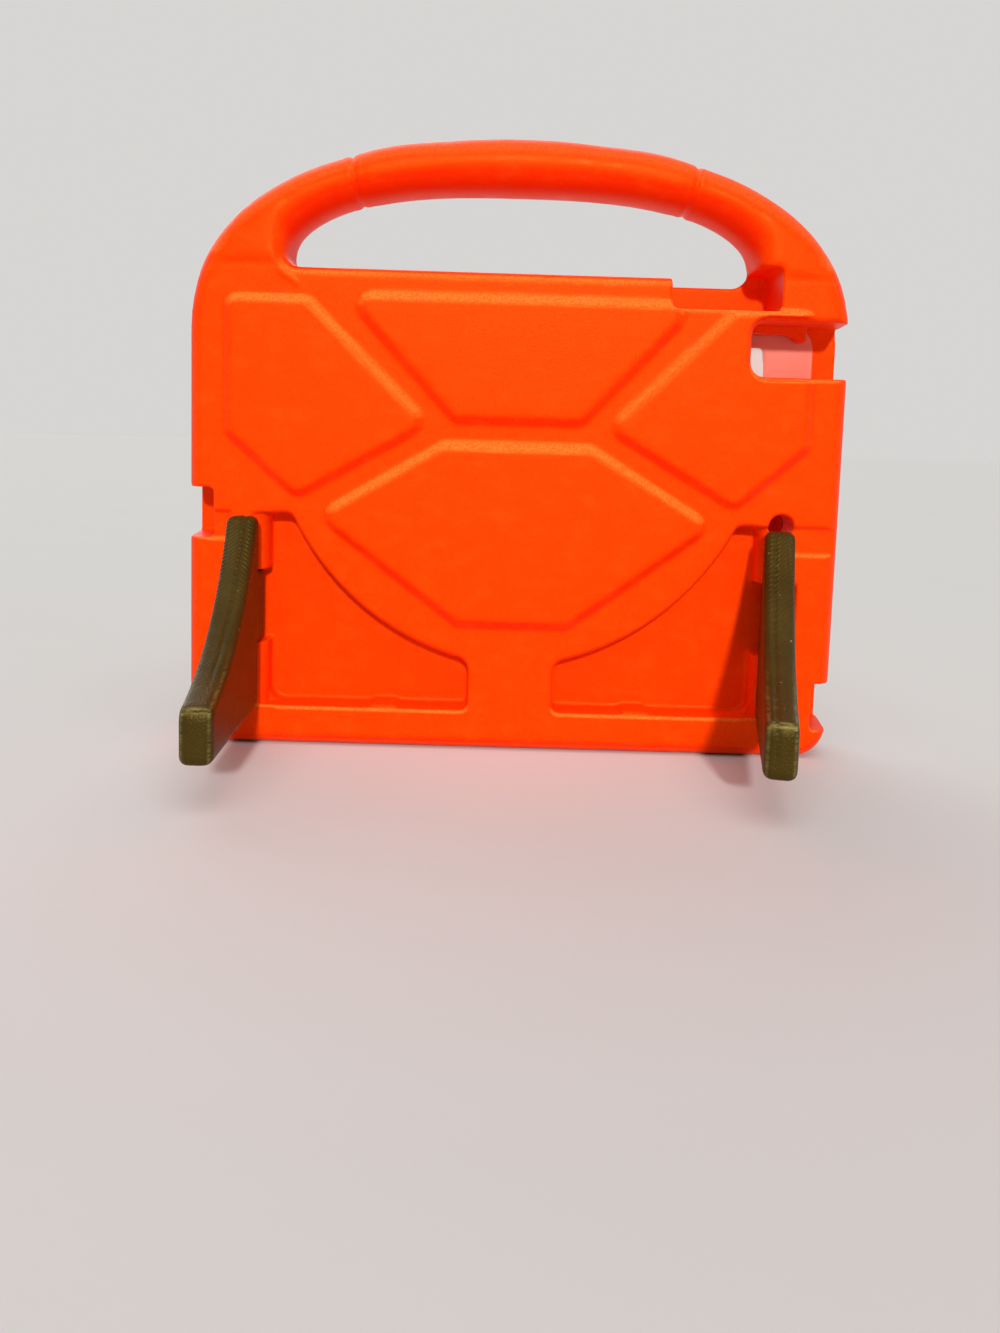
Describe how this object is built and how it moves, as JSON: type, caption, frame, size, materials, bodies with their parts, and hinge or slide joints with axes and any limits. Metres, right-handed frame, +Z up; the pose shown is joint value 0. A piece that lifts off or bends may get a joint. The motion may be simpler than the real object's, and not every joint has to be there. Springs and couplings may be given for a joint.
{
  "type": "kids tablet case",
  "caption": "Moulded foam tablet case with an arched carrying handle, raised back panels, a clear screen film and hinged fold-out stand legs on steel pins.",
  "frame": {"origin": "middle of the flat strip that the case stands on", "axes": "+X to the right seen from the back, +Y from the back towards the screen, +Z up to the handle"},
  "size_m": [0.2294, 0.0985, 0.2112],
  "materials": {
    "orange_foam": "matt moulded EVA foam",
    "olive_foam": "matt moulded EVA foam",
    "clear_film": "hazy clear film",
    "pin_steel": "plain drawn wire"
  },
  "bodies": {
    "case": {"case_body": "orange_foam", "screen_film": "clear_film", "left_hinge_pin": "pin_steel", "right_hinge_pin": "pin_steel"},
    "left_leg": {"left_leg": "olive_foam"},
    "right_leg": {"right_leg": "olive_foam"}
  },
  "joints": [
    {"name": "left_leg_hinge", "type": "hinge", "parent": "case", "child": "left_leg", "pos_m": [-0.0925, -0.00765, 0.049], "axis": [0, 0, -1], "range_deg": [-88, 7]},
    {"name": "right_leg_hinge", "type": "hinge", "parent": "case", "child": "right_leg", "pos_m": [0.0925, -0.00765, 0.049], "axis": [0, 0, 1], "range_deg": [-78, 17]}
  ]
}
